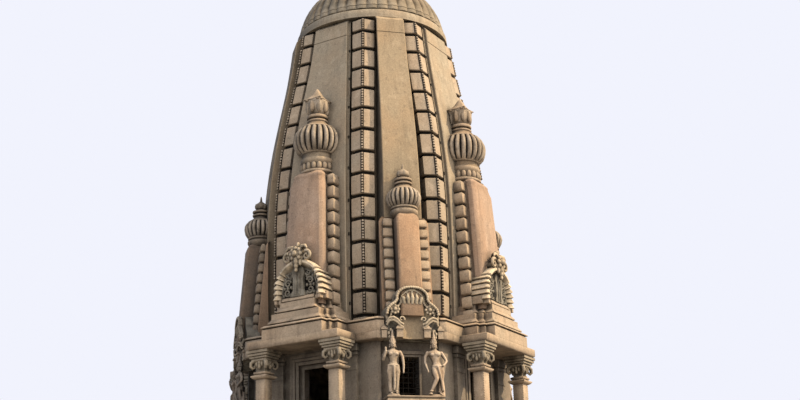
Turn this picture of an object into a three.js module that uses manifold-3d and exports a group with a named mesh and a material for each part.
// Temple tower with a columned upper storey, a tall curved spire and a ribbed crown.
// Millimetres, +Z up, ground at z = 0, front porch towards -Y.

import * as THREE from 'three';
import { mergeVertices } from 'three/addons/utils/BufferGeometryUtils.js';
import Module from 'manifold-3d';

const wasm = await Module();
wasm.setup();

// Joint gap between neighbouring stones
const GAP = 0.4;

// Storey heights
const PLINTH_TOP = 900;
const BALCONY_BOTTOM = 5700;
const FLOOR_TOP = 6000;
const CORNICE_BOTTOM = 8600;
const CORNICE_TOP = 9180;
const SPIRE_TOP = 18350;
const CROWN_BOTTOM = 18780;
const CROWN_TOP = 20180;

// Cornice plan: porch bay, stepped side and chamfered corner
const PORCH_FACE = 4150;
const PORCH_HALF = 1400;
const BAND_HALF = 940;
const BAND_STEP_SIDE = 215;
const BAND_STEP_BACK = 240;
const DRIP_TOP = 8820;
const SIDE_FACE = 3350;
const SIDE_HALF = 2070;
const NICHE_HALF = 720;
const NICHE_FACE = 3430;

// Upper storey walls
const WALL_FACE = 3100;
const WALL_HALF = 1900;
const WALL_INNER = 2650;
const CORNER_FACE = 3380;
const CORNER_INNER = 2930;
const CORNER_RECESS_HALF = 760;
const DOOR_HALF = 500;
const DOOR_TOP = 8250;
const WINDOW_HALF = 265;
const WINDOW_BOTTOM = 7200;
const WINDOW_TOP = 8230;

// Ground storey walls
const BASE_PORCH_FACE = 4000;
const BASE_PORCH_HALF = 1380;
const BASE_SIDE_FACE = 3200;
const BASE_SIDE_HALF = 1980;
const BASE_INNER = 2700;
const BASE_CORNER_INNER = 3150;
const BASE_RECESS_HALF = 700;
const BASE_RECESS_FACE = 3400;
const ENTRY_HALF = 600;
const ENTRY_TOP = 3300;
const BASE_WINDOW_HALF = 400;
const BASE_WINDOW_BOTTOM = 2300;
const BASE_WINDOW_TOP = 3900;

// Entrance steps
const STEP_COUNT = 5;
const STEP_TREAD = 300;
const STEPS_HALF = 1000;

// Porch columns
const COLUMN_SIDE = 1130;
const COLUMN_OUT = 3780;
const COLUMN_BASE = 240;
const COLUMN_HALF = 155;

// Spire: distance of the rib ridge from the axis at each height
const RIDGE_PROFILE = [
  [CORNICE_TOP, 3225],
  [10400, 3255],
  [11600, 3265],
  [12700, 3240],
  [13800, 3150],
  [14900, 2990],
  [16000, 2770],
  [17150, 2530],
  [SPIRE_TOP, 2350],
];
const RIB_FROM_DIAGONAL = 19;
const RIB_FROM_CARDINAL = 45 - RIB_FROM_DIAGONAL;
const RIB_HALF = 310;
const RIB_FOLD = 160;
const RIB_DEPTH = 440;
const CHANNEL_SIDE = 370;
const CHANNEL_DEPTH = 360;
const SPIRE_WALL = 260;

// Porch balcony
const PARAPET_TOP = 6900;

// Porch gable and large turret
const GABLE_LEVELS = [9480, 9770];
const ARCH_FACE = 3870;
const ARCH_BACK = 3600;
const ARCH_RADIUS = 800;
const ARCH_BAND = 270;
const ARCH_SPRING = 10050;
const TURRET_OUT = 2920;
const TURRET_BULB = 650;

// Corner shrine and small turret
const FIGURE_OUT = 3920;
const LEDGE_FACE = 4080;
const SHRINE_FACE = 3980;
const SHRINE_FOOT = 8820;
const SHRINE_RADIUS = 680;
const SHRINE_BAND = 200;
const SHRINE_SPRING = 9200;
const SMALL_TURRET_OUT = 3330;
const SMALL_TURRET_HALF = 300;
const SMALL_TURRET_TOP = 12000;
const SMALL_TURRET_BULB = 450;

const SIDES = [['front', 0], ['right', 90], ['back', 180], ['left', 270]];
const CORNERS = [['front_right', 45], ['back_right', 135], ['back_left', 225], ['front_left', 315]];

const STONE = { color: 0xc9a983, roughness: 0.9 };
const PLASTER = { color: 0xcfa97b, roughness: 0.92 };
const GREY_STONE = { color: 0xa8977c, roughness: 0.9 };
const DARK_STONE = { color: 0x8b7a63, roughness: 0.95 };

const temple = new THREE.Group();
temple.name = 'temple_tower';

const rad = (degrees) => degrees * Math.PI / 180;

// Basic solids

// Closed body through stacked outlines with the same number of points, each counter-clockwise
function loft(sections) {
  const count = sections[0].outline.length;
  const position = [];
  for (const { z, outline } of sections) {
    for (const [x, y] of outline) position.push(x, y, z);
  }
  const index = [];
  for (let level = 0; level < sections.length - 1; level += 1) {
    for (let i = 0; i < count; i += 1) {
      const j = (i + 1) % count;
      const a = level * count + i;
      const b = level * count + j;
      index.push(a, b, b + count, a, b + count, a + count);
    }
  }
  const cap = (section) => THREE.ShapeUtils.triangulateShape(
    section.outline.map(([x, y]) => new THREE.Vector2(x, y)), []);
  const top = (sections.length - 1) * count;
  for (const [a, b, c] of cap(sections[0])) index.push(a, c, b);
  for (const [a, b, c] of cap(sections[sections.length - 1])) index.push(top + a, top + b, top + c);
  const geometry = new THREE.BufferGeometry();
  geometry.setAttribute('position', new THREE.Float32BufferAttribute(position, 3));
  geometry.setIndex(index);
  return geometry;
}

function prism(outline, bottom, top) {
  return loft([{ z: bottom, outline }, { z: top, outline }]);
}

function box(x0, x1, y0, y1, z0, z1) {
  return prism([[x0, y0], [x1, y0], [x1, y1], [x0, y1]], z0, z1);
}

// Regular outline of a given radius, with an optional stretch along y
function round(radius, count, turn = 0, stretch = 1) {
  const outline = [];
  for (let i = 0; i < count; i += 1) {
    const angle = turn + (i / count) * 2 * Math.PI;
    outline.push([radius * Math.cos(angle), radius * stretch * Math.sin(angle)]);
  }
  return outline;
}

// Eight points on a square, to match an octagon point for point
function square(half) {
  return [[half, 0], [half, half], [0, half], [-half, half],
    [-half, 0], [-half, -half], [0, -half], [half, -half]];
}

// Body of revolution from [radius, height] pairs, standing at x, y
function revolve(profile, count, x = 0, y = 0) {
  const geometry = loft(profile.map(([radius, z]) => ({ z, outline: round(radius, count) })));
  return geometry.translate(x, y, 0);
}

// Upright slab in the plane of a wall: an elevation outline [x, z] given a depth along y
function upright(elevation, front, back) {
  const geometry = prism(elevation.map(([x, z]) => [x, z]), 0, back - front);
  geometry.rotateX(Math.PI / 2);
  return geometry.translate(0, back, 0);
}

function toManifold(geometry) {
  const clean = geometry.clone();
  clean.deleteAttribute('normal');
  clean.deleteAttribute('uv');
  const merged = mergeVertices(clean, 1e-3);
  return new wasm.Manifold(new wasm.Mesh({
    numProp: 3,
    vertProperties: new Float32Array(merged.attributes.position.array),
    triVerts: new Uint32Array(merged.index.array),
  }));
}

function fromManifold(solid) {
  const mesh = solid.getMesh();
  const geometry = new THREE.BufferGeometry();
  geometry.setAttribute('position', new THREE.Float32BufferAttribute(mesh.vertProperties, 3));
  geometry.setIndex(Array.from(mesh.triVerts));
  return geometry;
}

function join(parts, holes = []) {
  let solid = toManifold(parts[0]);
  for (const part of parts.slice(1)) solid = solid.add(toManifold(part));
  for (const hole of holes) solid = solid.subtract(toManifold(hole));
  return fromManifold(solid);
}

// Adds a named piece, drawn facing the front and turned to its azimuth
function addPiece(name, geometry, finish, azimuth = 0) {
  const turned = geometry.clone();
  turned.rotateZ(rad(azimuth));
  turned.computeVertexNormals();
  const material = new THREE.MeshStandardMaterial({ ...finish, metalness: 0 });
  const mesh = new THREE.Mesh(turned, material);
  mesh.name = name;
  temple.add(mesh);
}

// Plan helpers: one quarter of the plan, repeated four times

function fourTimes(quarter) {
  const outline = [];
  for (let turn = 0; turn < 4; turn += 1) {
    const c = Math.cos(rad(90 * turn));
    const s = Math.sin(rad(90 * turn));
    for (const [x, y] of quarter) outline.push([x * c - y * s, x * s + y * c]);
  }
  return outline;
}

// Point in the plan from a corner bay's own frame: sideways and outward along the diagonal
function onDiagonal(side, out) {
  const c = Math.SQRT1_2;
  return [side * c + out * c, side * c - out * c];
}

// Stepped plan of the building, grown by a margin on every face
function buildingPlan(margin, porchFace, porchHalf, sideFace, sideHalf) {
  return fourTimes([
    [-porchHalf - margin, -porchFace - margin],
    [porchHalf + margin, -porchFace - margin],
    [porchHalf + margin, -sideFace - margin],
    [sideHalf + margin * 0.414, -sideFace - margin],
    [sideFace + margin, -sideHalf - margin * 0.414],
    [sideFace + margin, -porchHalf - margin],
  ]);
}

// Plinth, steps and ground storey

const plinthPlan = (margin) => buildingPlan(
  margin, BASE_PORCH_FACE, BASE_PORCH_HALF, BASE_SIDE_FACE, BASE_SIDE_HALF);

addPiece('plinth', loft([
  { z: 0, outline: plinthPlan(380) },
  { z: 260, outline: plinthPlan(380) },
  { z: 340, outline: plinthPlan(260) },
  { z: 640, outline: plinthPlan(220) },
  { z: 740, outline: plinthPlan(300) },
  { z: PLINTH_TOP, outline: plinthPlan(300) },
]), STONE);

function entranceSteps() {
  const start = BASE_PORCH_FACE + 380 + GAP;
  const rise = PLINTH_TOP / STEP_COUNT;
  const steps = [];
  for (let i = 0; i < STEP_COUNT; i += 1) {
    const reach = start + STEP_TREAD * (STEP_COUNT - i);
    steps.push(box(-STEPS_HALF, STEPS_HALF, -reach, -start, 0, rise * (i + 1)));
  }
  return join(steps);
}
addPiece('entrance_steps', entranceSteps(), STONE);

// A quarter of the ground storey, from the middle of one corner bay to the next
function groundWall(opening) {
  const bottom = PLINTH_TOP + GAP;
  const top = BALCONY_BOTTOM - GAP;
  const cornerFace = (BASE_SIDE_FACE + BASE_SIDE_HALF) * Math.SQRT1_2;
  const right = [
    [BASE_PORCH_HALF, -BASE_PORCH_FACE],
    [BASE_PORCH_HALF, -BASE_SIDE_FACE],
    [BASE_SIDE_HALF, -BASE_SIDE_FACE],
    onDiagonal(-GAP / 2, cornerFace),
    onDiagonal(-GAP / 2, BASE_CORNER_INNER),
    [BASE_CORNER_INNER * Math.SQRT2 - BASE_INNER, -BASE_INNER],
    [BASE_RECESS_HALF, -BASE_INNER],
    [BASE_RECESS_HALF, -BASE_RECESS_FACE],
  ];
  const left = right.map(([x, y]) => [-x, y]).reverse();
  const wall = prism([...right, ...left], bottom, top);
  const [half, sill, head] = opening;
  return join([wall], [box(-half, half, -BASE_PORCH_FACE - 50, -BASE_RECESS_FACE + 50, sill, head)]);
}
for (const [side, azimuth] of SIDES) {
  const opening = side === 'front'
    ? [ENTRY_HALF, PLINTH_TOP - 50, ENTRY_TOP]
    : [BASE_WINDOW_HALF, BASE_WINDOW_BOTTOM, BASE_WINDOW_TOP];
  addPiece(`ground_wall_${side}`, groundWall(opening), PLASTER, azimuth);
}

// Upper floor with its moulded edge, reaching out under the four porches
const cornicePlan = (margin) => buildingPlan(margin, PORCH_FACE, PORCH_HALF, SIDE_FACE, SIDE_HALF);

// Parapet round one porch: a front wall between the columns and a return at either side
function parapet() {
  const bottom = FLOOR_TOP - 50;
  const inner = COLUMN_OUT - COLUMN_BASE - GAP;
  const columnSide = COLUMN_SIDE - COLUMN_BASE - GAP;
  const wall = (half, front, back) => [
    box(-half, half, -front, -back, bottom, PARAPET_TOP - 90),
    box(-half, half, -front - 50, -back + 50, PARAPET_TOP - 100, PARAPET_TOP),
  ];
  const side = (hand) => [
    box(hand * COLUMN_SIDE - 70, hand * COLUMN_SIDE + 70, -inner, -WALL_FACE - 110 - GAP,
      bottom, PARAPET_TOP - 90),
    box(hand * COLUMN_SIDE - 110, hand * COLUMN_SIDE + 110, -inner, -WALL_FACE - 110 - GAP,
      PARAPET_TOP - 100, PARAPET_TOP),
  ];
  return [...wall(columnSide, 3960, 3820), ...side(-1), ...side(1)];
}

function upperFloor() {
  const slab = loft([
    { z: BALCONY_BOTTOM, outline: cornicePlan(-60) },
    { z: 5800, outline: cornicePlan(20) },
    { z: 5860, outline: cornicePlan(80) },
    { z: FLOOR_TOP, outline: cornicePlan(80) },
  ]);
  const parapets = SIDES.flatMap(([, azimuth]) => parapet().map((part) => part.rotateZ(rad(azimuth))));
  return join([slab, ...parapets]);
}
addPiece('upper_floor', upperFloor(), STONE);

// Upper storey

function doorWall() {
  const bottom = FLOOR_TOP + GAP;
  const innerHalf = CORNER_INNER * Math.SQRT2 - WALL_INNER;
  const trim = GAP / 2;
  const wall = prism([
    [-WALL_HALF + trim, -WALL_FACE],
    [WALL_HALF - trim, -WALL_FACE],
    [innerHalf - trim, -WALL_INNER],
    [-innerHalf + trim, -WALL_INNER],
  ], bottom, CORNICE_BOTTOM - GAP);
  const pilasters = [-1, 1].map((side) => box(
    Math.min(side * 940, side * 1340), Math.max(side * 940, side * 1340),
    -WALL_FACE - 110, -WALL_FACE + 50, bottom, CORNICE_BOTTOM - GAP));
  const doorway = box(-DOOR_HALF, DOOR_HALF, -WALL_FACE - 50, -WALL_INNER + 50, 0, DOOR_TOP);
  return join([wall, ...pilasters], [doorway]);
}

function windowWall() {
  const bottom = FLOOR_TOP + GAP;
  const outerOut = (WALL_FACE + WALL_HALF) * Math.SQRT1_2;
  const outerHalf = (WALL_FACE - WALL_HALF) * Math.SQRT1_2;
  const innerHalf = WALL_INNER * Math.SQRT2 - CORNER_INNER;
  const trim = GAP / 2;
  const half = [
    [CORNER_RECESS_HALF, -CORNER_FACE],
    [CORNER_RECESS_HALF, -outerOut],
    [outerHalf - trim, -outerOut],
    [innerHalf - trim, -CORNER_INNER],
  ];
  const left = half.map(([x, y]) => [-x, y]).reverse();
  const wall = prism([...half, ...left], bottom, CORNICE_BOTTOM - GAP);
  const window = box(-WINDOW_HALF, WINDOW_HALF, -CORNER_FACE - 50, -CORNER_INNER + 50,
    WINDOW_BOTTOM, WINDOW_TOP);
  return join([wall], [window]);
}

for (const [side, azimuth] of SIDES) addPiece(`door_wall_${side}`, doorWall(), PLASTER, azimuth);
for (const [corner, azimuth] of CORNERS) {
  addPiece(`window_wall_${corner}`, windowWall(), PLASTER, azimuth);
}

// Porch column: square base and shaft, flared neck and spreading bracket capital
function porchColumn(side) {
  const sections = [
    [COLUMN_BASE, FLOOR_TOP + GAP],
    [COLUMN_BASE, 6240],
    [210, 6280],
    [210, 6350],
    [COLUMN_HALF + 10, 6400],
    [COLUMN_HALF, 7900],
    [220, 7940],
    [190, 8020],
    [130, 8090],
    [150, 8140],
    [230, 8290],
    [330, 8480],
    [330, CORNICE_BOTTOM - GAP],
  ];
  const geometry = loft(sections.map(([half, z]) => ({ z, outline: square(half) })));
  return geometry.translate(side * COLUMN_SIDE, -COLUMN_OUT, 0);
}
for (const [side, azimuth] of SIDES) {
  addPiece(`column_${side}_a`, porchColumn(-1), STONE, azimuth);
  addPiece(`column_${side}_b`, porchColumn(1), STONE, azimuth);
}

// Standing figure with a tall conical crown, drawn from stacked ovals
function standingFigure(side) {
  const base = 7130;
  const body = [
    [130, 0.8, 0], [130, 0.8, 60], [95, 0.8, 90], [105, 0.8, 380], [125, 0.8, 560],
    [155, 0.72, 720], [115, 0.72, 850], [150, 0.72, 1010], [165, 0.6, 1110], [60, 0.9, 1160],
    [88, 1.05, 1240], [84, 1.05, 1330], [95, 1, 1370], [70, 1, 1470], [20, 1, 1660],
  ];
  const sections = body.map(([radius, stretch, z]) => (
    { z: base + z - 20, outline: round(radius, 8, rad(22.5), stretch) }));
  const trunk = loft(sections);
  const arms = [-1, 1].map((hand) => loft([
    { z: base + 620, outline: round(34, 5).map(([x, y]) => [x + hand * 205, y - 20]) },
    { z: base + 860, outline: round(38, 5).map(([x, y]) => [x + hand * 200, y]) },
    { z: base + 1080, outline: round(52, 5).map(([x, y]) => [x + hand * 140, y]) },
  ]));
  return [trunk, ...arms].map((part) => part.translate(side * 540, -FIGURE_OUT, 0));
}

// Ledge on a corbelled block with a figure on either side of the window
function figureLedge() {
  const back = -CORNER_FACE - GAP;
  const ledge = loft([
    { z: FLOOR_TOP + GAP, outline: [[-600, back - 120], [600, back - 120], [600, back], [-600, back]] },
    { z: 6700, outline: [[-600, back - 120], [600, back - 120], [600, back], [-600, back]] },
    { z: 6930, outline: [[-740, -LEDGE_FACE], [740, -LEDGE_FACE], [740, back], [-740, back]] },
    { z: 7130, outline: [[-740, -LEDGE_FACE], [740, -LEDGE_FACE], [740, back], [-740, back]] },
  ]);
  return join([ledge, ...standingFigure(-1), ...standingFigure(1)]);
}
for (const [corner, azimuth] of CORNERS) addPiece(`figure_ledge_${corner}`, figureLedge(), STONE, azimuth);

// Entablature: one ring of stone over the columned storey, notched at the corner shrines

function entablature() {
  const corner = (margin) => [
    [SIDE_HALF + margin * 0.414, -SIDE_FACE - margin],
    onDiagonal(-NICHE_HALF, (SIDE_FACE + SIDE_HALF) * Math.SQRT1_2 + margin),
    onDiagonal(-NICHE_HALF, NICHE_FACE),
    onDiagonal(NICHE_HALF, NICHE_FACE),
    onDiagonal(NICHE_HALF, (SIDE_FACE + SIDE_HALF) * Math.SQRT1_2 + margin),
    [SIDE_FACE + margin, -SIDE_HALF - margin * 0.414],
  ];
  const dripPlan = fourTimes([
    [-PORCH_HALF, -PORCH_FACE],
    [PORCH_HALF, -PORCH_FACE],
    [PORCH_HALF, -SIDE_FACE],
    ...corner(0),
    [SIDE_FACE, -PORCH_HALF],
  ]);
  const stepHalf = BAND_HALF + BAND_STEP_SIDE;
  const bandPlan = (margin) => fourTimes([
    [-stepHalf - margin, -PORCH_FACE + BAND_STEP_BACK - margin],
    [-BAND_HALF - margin, -PORCH_FACE + BAND_STEP_BACK - margin],
    [-BAND_HALF - margin, -PORCH_FACE - margin],
    [BAND_HALF + margin, -PORCH_FACE - margin],
    [BAND_HALF + margin, -PORCH_FACE + BAND_STEP_BACK - margin],
    [stepHalf + margin, -PORCH_FACE + BAND_STEP_BACK - margin],
    [stepHalf + margin, -SIDE_FACE - margin],
    ...corner(margin),
    [SIDE_FACE + margin, -stepHalf - margin],
  ]);
  const drip = prism(dripPlan, CORNICE_BOTTOM, DRIP_TOP);
  const band = loft([
    { z: DRIP_TOP - 10, outline: bandPlan(0) },
    { z: 9080, outline: bandPlan(0) },
    { z: 9110, outline: bandPlan(25) },
    { z: CORNICE_TOP - GAP, outline: bandPlan(25) },
  ]);
  const well = prism(round(2420, 8, rad(22.5)), CORNICE_BOTTOM - 10, CORNICE_TOP + 10);
  return join([drip, band], [well]);
}
addPiece('entablature', entablature(), STONE);

// Spire

function ridgeRadius(z) {
  let i = 0;
  while (i < RIDGE_PROFILE.length - 2 && z > RIDGE_PROFILE[i + 1][0]) i += 1;
  const [z0, r0] = RIDGE_PROFILE[i];
  const [z1, r1] = RIDGE_PROFILE[i + 1];
  return r0 + (r1 - r0) * (z - z0) / (z1 - z0);
}

// Point beside a rib: across towards the bay's middle, and out along the rib's own radius
function besideRib(angle, across, out) {
  const s = Math.sin(rad(angle));
  const c = Math.cos(rad(angle));
  return [out * s - across * c, -(out * c + across * s)];
}

// Heights between two levels at which the spire changes slope
function spireLevels(bottom, top) {
  const between = RIDGE_PROFILE.map(([z]) => z).filter((z) => z > bottom + 1 && z < top - 1);
  return [bottom, ...between, top];
}

// Outward face of the proud panel and of the border strips beside it
const sidePanelOut = (z) => ridgeRadius(z) * Math.cos(rad(RIB_FROM_CARDINAL)) + 80;
const sideBorderOut = (z) => sidePanelOut(z) - 100;
const cornerPanelOut = (z) => ridgeRadius(z) * Math.cos(rad(RIB_FROM_DIAGONAL)) + 130;

// Visible right half of a side panel, stepped down to its border
function sidePanel(z) {
  const middle = ridgeRadius(z) * Math.sin(rad(RIB_FROM_CARDINAL));
  return [
    [middle - 490, -sidePanelOut(z)],
    [middle - 490, -sideBorderOut(z)],
    [middle - 430, -sideBorderOut(z)],
    besideRib(RIB_FROM_CARDINAL, CHANNEL_SIDE, ridgeRadius(z) - CHANNEL_DEPTH),
  ];
}

// Visible right half of the narrower panel over a corner bay
function cornerPanel(z) {
  const half = 0.12 * ridgeRadius(z) + 120;
  return [
    [half, -cornerPanelOut(z)],
    besideRib(RIB_FROM_DIAGONAL, CHANNEL_SIDE, ridgeRadius(z) - CHANNEL_DEPTH),
  ];
}

// One of eight curved wall segments; its joints lie hidden behind the ribs
function spireWall(angle, panel) {
  const levels = spireLevels(CORNICE_TOP, SPIRE_TOP);
  return loft(levels.map((z) => {
    const back = ridgeRadius(z) - RIB_DEPTH - GAP;
    const right = [
      ...panel(z),
      besideRib(angle, RIB_HALF + 30, back),
      besideRib(angle, GAP / 2, back),
      besideRib(angle, GAP / 2, back - SPIRE_WALL),
    ];
    const left = right.map(([x, y]) => [-x, y]).reverse();
    return { z, outline: [...right, ...left] };
  }));
}
for (const [side, azimuth] of SIDES) {
  addPiece(`spire_panel_${side}`, spireWall(RIB_FROM_CARDINAL, sidePanel), PLASTER, azimuth);
}
for (const [corner, azimuth] of CORNERS) {
  addPiece(`spire_panel_${corner}`, spireWall(RIB_FROM_DIAGONAL, cornerPanel), PLASTER, azimuth);
}

// Folded rib running up the spire; it points straight out from the axis
function spireRib() {
  const levels = spireLevels(CORNICE_TOP, SPIRE_TOP);
  return loft(levels.map((z) => {
    const ridge = ridgeRadius(z);
    return {
      z,
      outline: [
        [0, -ridge],
        [RIB_HALF, -(ridge - RIB_FOLD)],
        [RIB_HALF - 20, -(ridge - RIB_DEPTH)],
        [-RIB_HALF + 20, -(ridge - RIB_DEPTH)],
        [-RIB_HALF, -(ridge - RIB_FOLD)],
      ],
    };
  }));
}
for (const [corner, azimuth] of CORNERS) {
  addPiece(`rib_${corner}_a`, spireRib(), GREY_STONE, azimuth - RIB_FROM_DIAGONAL);
  addPiece(`rib_${corner}_b`, spireRib(), GREY_STONE, azimuth + RIB_FROM_DIAGONAL);
}

// Turrets

// Room taken by the spire behind a turret, to trim what leans against it
function spireBehind(panelOut) {
  return loft(spireLevels(CORNICE_TOP - 100, SPIRE_TOP).map((z) => {
    const face = panelOut(z) + GAP;
    return { z, outline: [[-1100, -face], [1100, -face], [1100, -1000], [-1100, -1000]] };
  }));
}

// Half ring standing upright on two legs, with an optional infill behind it
function archBand(radius, band, spring, foot, front, back) {
  const steps = 10;
  const outer = [];
  const inner = [];
  for (let i = 0; i <= steps; i += 1) {
    const angle = rad(180 * i / steps);
    outer.push([radius * Math.cos(angle), spring + radius * Math.sin(angle)]);
    inner.push([(radius - band) * Math.cos(angle), spring + (radius - band) * Math.sin(angle)]);
  }
  const elevation = [[radius, foot], ...outer, [-radius, foot],
    [-radius + band, foot], ...inner.reverse(), [radius - band, foot]];
  return upright(elevation, -front, -back);
}

function archInfill(radius, spring, foot, front, back) {
  const steps = 10;
  const elevation = [[-radius, foot], [radius, foot]];
  for (let i = 0; i <= steps; i += 1) {
    const angle = rad(180 * i / steps);
    elevation.push([radius * Math.cos(angle), spring + radius * Math.sin(angle)]);
  }
  return upright(elevation, -front, -back);
}

// Squat ribbed bulb with its neck, ring, bud and tip; sizes follow the bulb's radius
function turretFinial(radius, centre, foot, out) {
  const profile = [
    [0.72 * radius, foot],
    [0.80 * radius, foot + 0.22 * radius],
    [0.70 * radius, foot + 0.42 * radius],
    [0.66 * radius, centre - 0.72 * radius],
    [0.90 * radius, centre - 0.42 * radius],
    [radius, centre - 0.05 * radius],
    [0.90 * radius, centre + 0.34 * radius],
    [0.58 * radius, centre + 0.68 * radius],
    [0.34 * radius, centre + 0.84 * radius],
    [0.52 * radius, centre + 0.92 * radius],
    [0.52 * radius, centre + 1.02 * radius],
    [0.30 * radius, centre + 1.10 * radius],
    [0.42 * radius, centre + 1.40 * radius],
    [0.34 * radius, centre + 1.78 * radius],
    [0.06 * radius, centre + 2.24 * radius],
  ];
  return revolve(profile, 12, 0, -out);
}

// Gable layer over a porch, its corners stepped back once
function gableLayer(half, face, bottom, top) {
  const right = [
    [half, -face],
    [half, -face + BAND_STEP_BACK],
    [half + BAND_STEP_SIDE, -face + BAND_STEP_BACK],
    [half + BAND_STEP_SIDE, -2700],
  ];
  const left = right.map(([x, y]) => [-x, y]).reverse();
  return prism([...right, ...left], bottom, top);
}

function porchTurret() {
  const shaftHalf = (z) => 650 - 140 * (z - 9800) / 3650;
  const shaftFace = (z) => 3740 - 230 * (z - 9800) / 3650;
  const shaft = loft([[9650, 0], [13200, 0], [13450, 120]].map(([z, inset]) => {
    const half = shaftHalf(z) - inset;
    const face = shaftFace(z) - inset;
    const right = [
      [half - 70, -face],
      [half, -face + 70],
      [half, -face + 270],
      [half + 190, -face + 310],
      [half + 210, -face + 560],
      [half, -face + 580],
      [half, -2500],
    ];
    const left = right.map(([x, y]) => [-x, y]).reverse();
    return { z, outline: [...right, ...left] };
  }));
  return join([
    gableLayer(800, 4050, CORNICE_TOP, GABLE_LEVELS[0]),
    gableLayer(600, 3960, GABLE_LEVELS[0] - 10, GABLE_LEVELS[1]),
    box(-560, 560, -ARCH_FACE + 20, -ARCH_BACK + 100, GABLE_LEVELS[1] - 10, 9880),
    archBand(ARCH_RADIUS, ARCH_BAND, ARCH_SPRING, GABLE_LEVELS[1] - 10, ARCH_FACE, ARCH_BACK),
    archInfill(ARCH_RADIUS - 20, ARCH_SPRING, GABLE_LEVELS[1] - 10, ARCH_BACK + 20, ARCH_BACK - 200),
    box(-300, 300, -ARCH_FACE, -ARCH_BACK + 100, 10700, 11250),
    shaft,
    turretFinial(TURRET_BULB, 14400, 13430, TURRET_OUT),
  ], [spireBehind(sidePanelOut)]);
}
for (const [side, azimuth] of SIDES) addPiece(`porch_turret_${side}`, porchTurret(), PLASTER, azimuth);

function cornerShrine() {
  const shaftFace = (z) => 3960 - 85 * (z - 9180) / 1000;
  const shaft = loft([[CORNICE_TOP + GAP, 0], [11800, 0], [SMALL_TURRET_TOP, 90]].map(([z, inset]) => {
    const half = SMALL_TURRET_HALF - inset;
    const face = shaftFace(z) - inset;
    const right = [
      [half, -face],
      [half, -face + 310],
      [half + 320, -face + 330],
      [half + 320, -face + 460],
      [half + 370, -face + 460],
      [half + 370, -2900],
    ];
    const left = right.map(([x, y]) => [-x, y]).reverse();
    return { z, outline: [...right, ...left] };
  }));
  const foot = CORNICE_BOTTOM;
  const inner = NICHE_FACE + GAP;
  return join([
    archBand(SHRINE_RADIUS, SHRINE_BAND, SHRINE_SPRING, SHRINE_FOOT, SHRINE_FACE, inner),
    archInfill(SHRINE_RADIUS - 20, SHRINE_SPRING, foot, inner + 100, inner),
    box(-660, -420, -SHRINE_FACE - 130, -inner - 60, SHRINE_FOOT, 9080),
    box(420, 660, -SHRINE_FACE - 130, -inner - 60, SHRINE_FOOT, 9080),
    shaft,
    turretFinial(SMALL_TURRET_BULB, 12480, SMALL_TURRET_TOP - 20, SMALL_TURRET_OUT),
  ], [spireBehind(cornerPanelOut)]);
}
for (const [corner, azimuth] of CORNERS) {
  addPiece(`corner_shrine_${corner}`, cornerShrine(), PLASTER, azimuth);
}

// Crown

addPiece('crown_neck', revolve([
  [2270, SPIRE_TOP + GAP],
  [2250, 18580],
  [2120, 18740],
  [1800, CROWN_BOTTOM - GAP],
], 32), PLASTER);

// Ribbed cushion: the outline swells and shrinks around it
function ribbedCushion(profile, ribs) {
  const count = ribs * 2;
  return loft(profile.map(([radius, depth, z]) => {
    const outline = [];
    for (let i = 0; i < count; i += 1) {
      const angle = (i / count) * 2 * Math.PI;
      const r = i % 2 === 0 ? radius : radius - depth;
      outline.push([r * Math.cos(angle), r * Math.sin(angle)]);
    }
    return { z, outline };
  }));
}
addPiece('ribbed_crown_cushion', ribbedCushion([
  [1850, 0, CROWN_BOTTOM],
  [2110, 50, 18860],
  [2150, 60, 19000],
  [2080, 60, 19200],
  [1970, 60, 19400],
  [1820, 60, 19600],
  [1620, 50, 19800],
  [1380, 40, 20000],
  [1180, 0, CROWN_TOP],
], 40), DARK_STONE);

addPiece('crown_ring', revolve([
  [1120, CROWN_TOP + GAP],
  [950, 20300],
  [900, 20480],
  [1120, 20540],
  [1120, 20660],
  [700, 20760],
], 16), STONE);

addPiece('pot_finial', revolve([
  [420, 20760 + GAP],
  [360, 20880],
  [620, 21080],
  [700, 21300],
  [600, 21540],
  [330, 21680],
  [260, 21760],
  [380, 21820],
  [380, 21900],
  [180, 21980],
  [240, 22160],
  [200, 22420],
  [20, 22900],
], 16), DARK_STONE);

export default temple;
